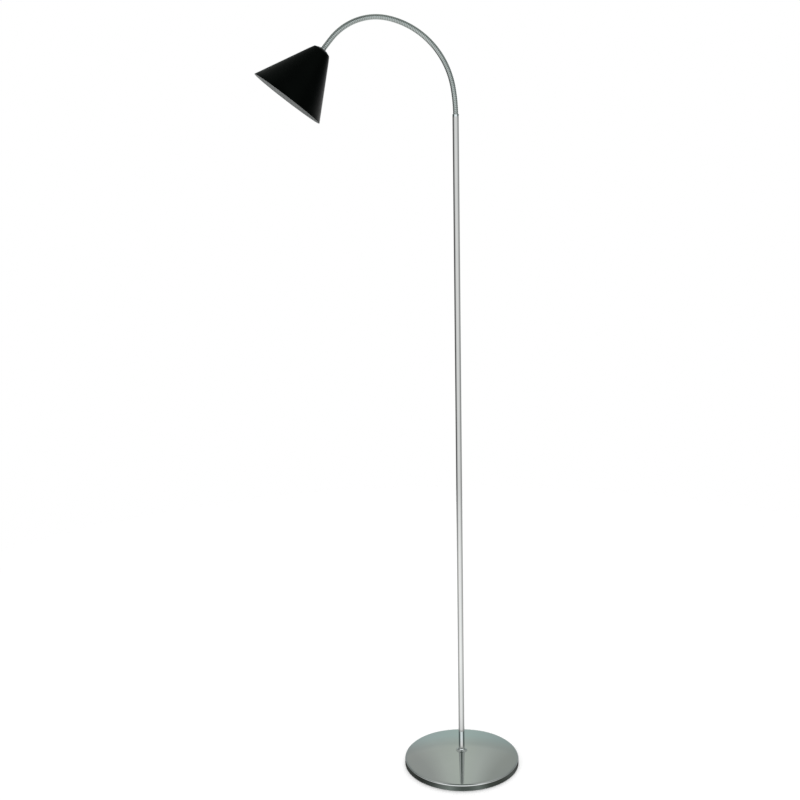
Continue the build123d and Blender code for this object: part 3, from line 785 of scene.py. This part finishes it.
def holder_skirt():
    """Lampholder's lower half: a grip of flat ribs and a rounded lip."""
    lip_start = HOLDER_SKIRT_END - HOLDER_LIP
    groove_radius = HOLDER_SKIRT_RADIUS - GRIP_GROOVE
    stations = [(groove_radius, HOLDER_CAP_END), (HOLDER_SKIRT_RADIUS, HOLDER_CAP_END + GRIP_GROOVE)]
    for ring in range(GRIP_RINGS):
        height = GRIP_START + ring * GRIP_PITCH
        stations += [
            (HOLDER_SKIRT_RADIUS, height),
            (groove_radius, height + GRIP_GROOVE),
            (groove_radius, height + 3 * GRIP_GROOVE),
            (HOLDER_SKIRT_RADIUS, height + 4 * GRIP_GROOVE),
        ]
    stations += [(HOLDER_SKIRT_RADIUS, lip_start)]
    stations += arc_points(
        (HOLDER_SKIRT_RADIUS + HOLDER_LIP / 2, lip_start + HOLDER_LIP / 2), HOLDER_LIP / 2, -60, 90, steps=6)
    bore = HOLDER_SKIRT_RADIUS - HOLDER_WALL
    stations += [
        (bore + GRIP_GROOVE, HOLDER_SKIRT_END),
        (bore, HOLDER_SKIRT_END - GRIP_GROOVE),
        (bore, HOLDER_CAP_END),
    ]
    return settle(turned("holder_skirt_moulding", stations, sides=80), HEAD_PLACE)


def bulb_screw_cap():
    """The bulb's metal cap: centre contact, insulating shoulder and rolled thread."""
    stations = [
        (BULB_TIP_RADIUS * BULB_TIP_CROWN, BULB_TIP),
        (BULB_TIP_RADIUS, BULB_TIP + BULB_TIP_EDGE),
        (BULB_TIP_RADIUS, BULB_CAP_START),
        (BULB_CAP_RADIUS - BULB_CAP_SHOULDER, BULB_CAP_START),
    ]
    root = BULB_CAP_RADIUS - BULB_THREAD_DEPTH
    for step in range(BULB_THREAD_ROUNDS * BULB_THREAD_POINTS + 1):
        turn = step / BULB_THREAD_POINTS
        wave = (1 - cos(2 * pi * turn)) / 2
        stations.append((root + BULB_THREAD_DEPTH * wave, BULB_THREAD_START + BULB_THREAD_PITCH * turn))
    inner, floor = root - BULB_CAP_WALL, BULB_CAP_START + BULB_CAP_FLOOR
    stations += [
        (BULB_CAP_RADIUS, BULB_CAP_END - BULB_CAP_COLLAR),
        (BULB_CAP_RADIUS, BULB_CAP_END),
        (inner, BULB_CAP_END),
        (inner, floor),
        (0, floor),
    ]
    return settle(turned("bulb_screw_cap", stations, sides=64, shut_start=True, joined=False), HEAD_PLACE)


def bulb_envelope():
    """Frosted tubular glass with a rounded end."""
    neck = BULB_CAP_RADIUS - BULB_CAP_WALL
    centre_height = BULB_END - BULB_RADIUS
    throat = [
        (neck + (BULB_RADIUS - neck) * (1 - cos(radians(turn))) / 2, BULB_CAP_END + BULB_THROAT * turn / 180)
        for turn in range(0, 181, 15)
    ]
    outer = throat + arc_points((0, centre_height), BULB_RADIUS, 0, 84, steps=14) + [(0, BULB_END)]
    envelope = turned("bulb_envelope", outer, sides=80, joined=False)
    wall = envelope.modifiers.new("wall", "SOLIDIFY")
    wall.thickness = GLASS_WALL
    wall.offset = -1
    apply_modifiers(envelope)
    bpy.ops.object.shade_smooth_by_angle(angle=radians(GLASS_SMOOTHING))
    return settle(envelope, HEAD_PLACE)


# ---------------------------------------------------------------- the pieces

dress(foot_cover(), "chrome_plate", "stand", "base_cover")
dress(foot_pad(), "foam_pad", "stand", "base_pad")
dress(cord_grommet(), "grommet_rubber", "stand", "cord_gland")
dress(flared_collar(), "chrome_plate", "stand", "foot_collar")
dress(pole_tube("pole_tube_lower", POLE_FOOT, POLE_JOINT), "chrome_plate", "stand", "pole_lower")
dress(pole_tube("pole_tube_upper", POLE_JOINT, POLE_TOP), "chrome_plate", "stand", "pole_upper")
dress(arm_socket(), "chrome_plate", "stand", "neck_socket")
wound_arm()
dress(shade_nipple(), "zinc_steel", "head", "neck_nipple")
spun_shade()
dress(holder_cap(), "white_moulding", "head", "holder_cap")
dress(holder_skirt(), "white_moulding", "head", "holder_skirt")
dress(bulb_screw_cap(), "bulb_cap_metal", "head", "bulb_cap")
dress(bulb_envelope(), "frosted_glass", "head", "bulb_glass")

for entry in frame["record"]["subparts"]:
    mesh = frame["nodes"][entry["node"]].data
    mesh.materials.clear()
    mesh.materials.append(FINISHES[entry["material_slot"]])


# ---------------------------------------------------------------- floor, light and camera

def grey(value):
    """A grey as a colour."""
    return (value, value, value)


def calculate(tree, operation, first, second):
    """The outcome of one operation on two values, each an output or a number."""
    node = tree.nodes.new("ShaderNodeMath")
    node.operation = operation
    for socket, value in zip(node.inputs, (first, second)):
        if isinstance(value, (int, float)):
            socket.default_value = value
        else:
            tree.links.new(value, socket)
    return node.outputs[0]


def mixed(tree, factor, first, second, blend_type="MIX"):
    """Two colours mixed by a factor, each an output or a colour."""
    node = tree.nodes.new("ShaderNodeMix")
    node.data_type = "RGBA"
    node.blend_type = blend_type
    if isinstance(factor, (int, float)):
        node.inputs["Factor"].default_value = factor
    else:
        tree.links.new(factor, node.inputs["Factor"])
    for socket, colour in ((node.inputs["A"], first), (node.inputs["B"], second)):
        if isinstance(colour, tuple):
            socket.default_value = (*colour, 1)
        else:
            tree.links.new(colour, socket)
    return node.outputs["Result"]


def round_the_lamp(tree, direction):
    """How far round the lamp a direction points, and how far up.

    Round the lamp, one half is towards the camera, and nought and one are behind the lamp.
    """
    turn = tree.nodes.new("ShaderNodeMapping")
    turn.inputs["Rotation"].default_value = (0, 0, -atan2(CAMERA_PLACE[1], CAMERA_PLACE[0]))
    tree.links.new(direction, turn.inputs["Vector"])
    parts = tree.nodes.new("ShaderNodeSeparateXYZ")
    tree.links.new(turn.outputs["Vector"], parts.inputs[0])
    angle = calculate(tree, "ARCTAN2", parts.outputs["Y"], parts.outputs["X"])
    return between(tree, angle, 0.0, 1.0, -pi, pi), parts.outputs["Z"]


def studio_floor():
    """Pale floor that keeps the lamp's shadow and fades into the white background.

    In reflections it glows as a studio floor, with a painted shadow that is dark close round the foot and
    fades out from it, and dimmer to the sides.
    """
    deselect()
    bpy.ops.mesh.primitive_circle_add(vertices=96, radius=FLOOR_RADIUS, fill_type="NGON", location=(0, 0, 0))
    floor = bpy.context.object
    floor.name = "studio_floor"
    material = bpy.data.materials.new("pale floor")
    material.use_nodes = True
    tree = material.node_tree
    tree.nodes.clear()
    place = tree.nodes.new("ShaderNodeTexCoord")
    length = tree.nodes.new("ShaderNodeVectorMath")
    length.operation = "LENGTH"
    tree.links.new(place.outputs["Object"], length.inputs[0])
    reach = length.outputs["Value"]
    path = tree.nodes.new("ShaderNodeLightPath")
    pale = tree.nodes.new("ShaderNodeBsdfDiffuse")
    pale.inputs["Color"].default_value = (*grey(FLOOR_GREY), 1)
    lift = tree.nodes.new("ShaderNodeEmission")
    seen = calculate(tree, "MAXIMUM", path.outputs["Is Camera Ray"], path.outputs["Is Transmission Ray"])
    tree.links.new(calculate(tree, "MULTIPLY", seen, FLOOR_LIFT), lift.inputs["Strength"])
    plain = tree.nodes.new("ShaderNodeAddShader")
    tree.links.new(pale.outputs[0], plain.inputs[0])
    tree.links.new(lift.outputs[0], plain.inputs[1])
    around, _ = round_the_lamp(tree, place.outputs["Object"])
    far = mixed(tree, 1.0, spread(tree, around, FLOOR_ROUND), spread(tree, reach, FLOOR_RINGS), "MULTIPLY")
    # in reflections the floor has a painted shadow round the foot, which gives way to the floor beyond
    past_painted_shadow = between(tree, reach, 0.0, 1.0, *FOOT_SHADE)
    reflected_floor_and_shadow = tree.nodes.new("ShaderNodeEmission")
    painted_foot_shadow = spread(tree, around, FOOT_SHADOW_ROUND)
    tree.links.new(mixed(tree, past_painted_shadow, painted_foot_shadow, far), reflected_floor_and_shadow.inputs["Color"])
    looks = tree.nodes.new("ShaderNodeMixShader")
    tree.links.new(path.outputs["Is Glossy Ray"], looks.inputs["Fac"])
    tree.links.new(plain.outputs[0], looks.inputs[1])
    tree.links.new(reflected_floor_and_shadow.outputs[0], looks.inputs[2])
    clear = tree.nodes.new("ShaderNodeBsdfTransparent")
    mix = tree.nodes.new("ShaderNodeMixShader")
    tree.links.new(between(tree, reach, 0.0, 1.0, *FLOOR_FADE), mix.inputs["Fac"])
    tree.links.new(looks.outputs[0], mix.inputs[1])
    tree.links.new(clear.outputs[0], mix.inputs[2])
    output = tree.nodes.new("ShaderNodeOutputMaterial")
    tree.links.new(mix.outputs[0], output.inputs["Surface"])
    floor.data.materials.append(material)


# What the metal reflects. A ROUND is stops of a place round the lamp and a colour, from behind the lamp by
# the left, the camera's side and the right. The edges and the tint go by the sine of a height, and the
# floor's rings and the painted shadow round the foot by the metres from the pole.
HORIZON_ROUND = [
    (0.00, grey(1.0)), (0.06, grey(0.75)), (0.12, grey(0.16)), (0.20, grey(0.06)), (0.27, grey(0.10)),
    (0.33, grey(0.44)), (0.39, grey(0.78)), (0.50, grey(0.84)), (0.60, grey(0.74)), (0.67, grey(0.50)),
    (0.73, grey(0.26)), (0.80, grey(0.28)), (0.85, grey(0.70)), (0.91, grey(0.95)), (1.00, grey(1.0)),
]
LOW_ROUND = [
    (0.00, (0.400, 0.445, 0.405)), (0.02, (0.385, 0.420, 0.395)), (0.04, (0.300, 0.318, 0.305)),
    (0.12, (0.23, 0.25, 0.24)), (0.20, (0.12, 0.14, 0.13)), (0.34, (0.13, 0.15, 0.14)),
    (0.375, (0.71, 0.67, 0.66)), (0.40, (1.06, 1.01, 1.00)), (0.60, (1.06, 1.01, 1.00)),
    (0.63, (0.56, 0.53, 0.525)), (0.66, (0.14, 0.16, 0.15)),
    (0.80, (0.12, 0.14, 0.13)), (0.88, (0.23, 0.25, 0.24)), (0.96, (0.290, 0.315, 0.293)),
    (0.98, (0.350, 0.385, 0.360)), (1.00, (0.400, 0.445, 0.405)),
]
HIGH_ROUND = [
    (0.00, (0.450, 0.495, 0.450)), (0.02, (0.425, 0.458, 0.428)), (0.04, (0.335, 0.352, 0.338)),
    (0.12, (0.27, 0.29, 0.28)), (0.25, (0.36, 0.38, 0.37)), (0.37, (0.47, 0.49, 0.48)),
    (0.40, (0.10, 0.12, 0.11)), (0.58, (0.09, 0.11, 0.10)), (0.61, (0.44, 0.46, 0.45)),
    (0.75, (0.36, 0.38, 0.37)), (0.88, (0.27, 0.29, 0.28)), (0.96, (0.300, 0.325, 0.305)),
    (0.98, (0.405, 0.440, 0.415)), (1.00, (0.450, 0.495, 0.450)),
]
HEIGHT_TINT = [
    (0.03, (0.93, 1.05, 1.10)), (0.20, (0.96, 1.075, 1.12)), (0.36, (1.00, 1.02, 1.04)), (0.46, grey(1.0)),
    (1.00, grey(1.05)),
]
HORIZON_EDGE = (0.0, 0.02)
LOW_EDGE = (0.37, 0.43)
FLOOR_ROUND = [
    (0.00, grey(1.0)), (0.12, grey(0.8)), (0.20, grey(0.34)), (0.27, grey(0.36)), (0.36, grey(0.88)),
    (0.44, grey(1.06)), (0.56, grey(1.0)), (0.64, grey(0.76)), (0.73, grey(0.40)), (0.80, grey(0.38)),
    (0.88, grey(0.78)), (1.00, grey(1.0)),
]
# the floor's rings are dimmer close to the foot, painted shade that fades out from it
FLOOR_RINGS = [(0.15, grey(0.80)), (0.21, grey(0.92)), (0.50, grey(1.06)), (1.0, grey(0.98))]
# a painted shadow on the floor round the foot, as the metal sees it: dark most of the way round, lighter in
# bands towards the camera's side
FOOT_SHADOW_ROUND = [
    (0.00, grey(0.10)), (0.30, (0.050, 0.055, 0.050)), (0.37, (0.032, 0.036, 0.033)),
    (0.41, (0.065, 0.075, 0.070)), (0.44, (0.145, 0.165, 0.155)), (0.465, (0.20, 0.23, 0.215)),
    (0.484, (0.120, 0.140, 0.130)), (0.50, (0.085, 0.100, 0.092)), (0.52, (0.090, 0.105, 0.097)),
    (0.55, (0.155, 0.180, 0.168)), (0.584, (0.060, 0.070, 0.063)), (0.62, (0.052, 0.058, 0.052)),
    (0.67, (0.085, 0.095, 0.088)), (0.75, grey(0.06)), (1.00, grey(0.10)),
]
# where the painted shadow round the foot gives way to the floor beyond
FOOT_SHADE = (0.136, 0.150)


def studio_world():
    """White to the eye, an even fill for matt surfaces, and a studio's walls in the reflections."""
    world = bpy.data.worlds.new("studio")
    bpy.context.scene.world = world
    world.use_nodes = True
    tree = world.node_tree
    tree.nodes.clear()
    place = tree.nodes.new("ShaderNodeTexCoord")
    around, height = round_the_lamp(tree, place.outputs["Generated"])
    is_high = between(tree, height, 0.0, 1.0, *LOW_EDGE)
    rounds = mixed(tree, is_high, spread(tree, around, LOW_ROUND), spread(tree, around, HIGH_ROUND))
    walls = mixed(tree, 1.0, rounds, spread(tree, height, HEIGHT_TINT), "MULTIPLY")
    is_above = between(tree, height, 0.0, 1.0, *HORIZON_EDGE)
    studio = mixed(tree, is_above, spread(tree, around, HORIZON_ROUND), walls)
    path = tree.nodes.new("ShaderNodeLightPath")
    fill = mixed(tree, path.outputs["Is Glossy Ray"], grey(FILL_GREY), studio)
    seen = calculate(tree, "MAXIMUM", path.outputs["Is Camera Ray"], path.outputs["Is Transmission Ray"])
    background = tree.nodes.new("ShaderNodeBackground")
    tree.links.new(mixed(tree, seen, fill, grey(1.0)), background.inputs["Color"])
    output = tree.nodes.new("ShaderNodeOutputWorld")
    tree.links.new(background.outputs[0], output.inputs["Surface"])


def soft_lamp(name, heading, height, strength, width):
    """A broad lamp far away, at a heading clockwise from +Y and a height, kept out of reflections.

    Heading, height and width are in degrees.
    """
    deselect()
    bpy.ops.object.light_add(type="SUN", location=(0, 0, LAMP_HEIGHT))
    lamp = bpy.context.object
    lamp.name = name
    lamp.data.energy = strength
    lamp.data.angle = radians(width)
    lamp.rotation_euler = (radians(90 - height), 0, radians(180 - heading))
    lamp.visible_glossy = False


def photograph_camera():
    """The camera, where the photograph was taken from."""
    camera = bpy.data.cameras.new("camera")
    camera.lens = CAMERA_LENS
    camera.sensor_width = SENSOR_WIDTH
    viewer = bpy.data.objects.new("camera", camera)
    bpy.context.scene.collection.objects.link(viewer)
    viewer.matrix_world = (
        Matrix.Translation(CAMERA_PLACE)
        @ Matrix.Rotation(radians(CAMERA_HEADING), 4, "Z")
        @ Matrix.Rotation(radians(90 + CAMERA_PITCH), 4, "X")
        @ Matrix.Rotation(radians(CAMERA_ROLL), 4, "Z")
    )
    bpy.context.scene.camera = viewer


studio_floor()
studio_world()
soft_lamp("key lamp", heading=20, height=62, strength=1.25, width=50)
soft_lamp("front lamp", heading=205, height=38, strength=0.75, width=60)
photograph_camera()
bpy.context.scene.view_settings.view_transform = "Standard"
